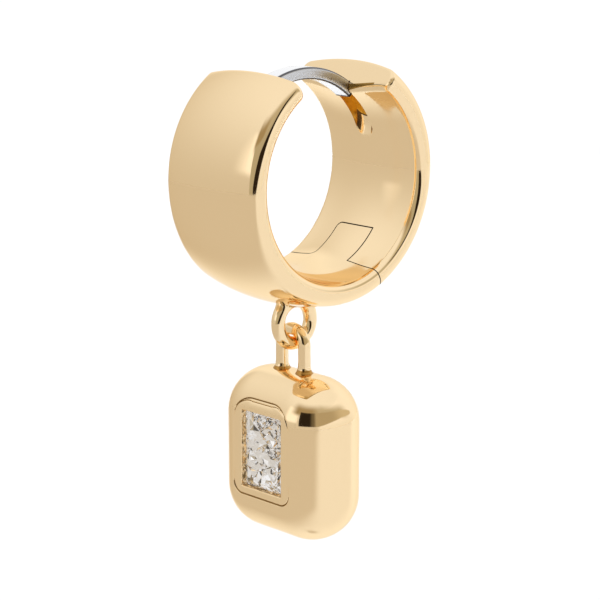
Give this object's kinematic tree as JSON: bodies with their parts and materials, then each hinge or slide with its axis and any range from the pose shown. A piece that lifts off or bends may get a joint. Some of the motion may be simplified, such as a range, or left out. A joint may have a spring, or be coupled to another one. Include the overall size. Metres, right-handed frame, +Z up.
{
  "type": "huggie earring",
  "caption": "Wide domed hinged huggie hoop with a curved ear post and a hanging cushion-shaped drop set with a rectangular cut stone.",
  "frame": {"origin": "on the centreline of the ear post, at the top of the hoop", "axes": "+X along the hoop's axis, towards the rim that the picture shows nearest; -Y is the front, where the stone looks; +Z up"},
  "size_m": [0.0074, 0.0126, 0.0232],
  "materials": {
    "gold": "polished, light gold coloured plating",
    "steel": "bright drawn wire",
    "stone": "clear, cut and polished"
  },
  "bodies": {
    "front": {"front_half": "gold", "ear_post": "steel", "hinge_pin": "gold"},
    "back": {"back_half": "gold"},
    "drop": {"drop": "gold", "stone": "stone"}
  },
  "joints": [
    {"name": "back_hinge", "type": "hinge", "parent": "front", "child": "back", "pos_m": [0, 0.00329, -0.00948], "axis": [-1, 0, 0], "range_deg": [0, 75]},
    {"name": "drop_swing", "type": "hinge", "parent": "front", "child": "drop", "pos_m": [0, -0.00047, -0.01252], "axis": [1, 0, 0], "range_deg": [-75, 75]}
  ]
}
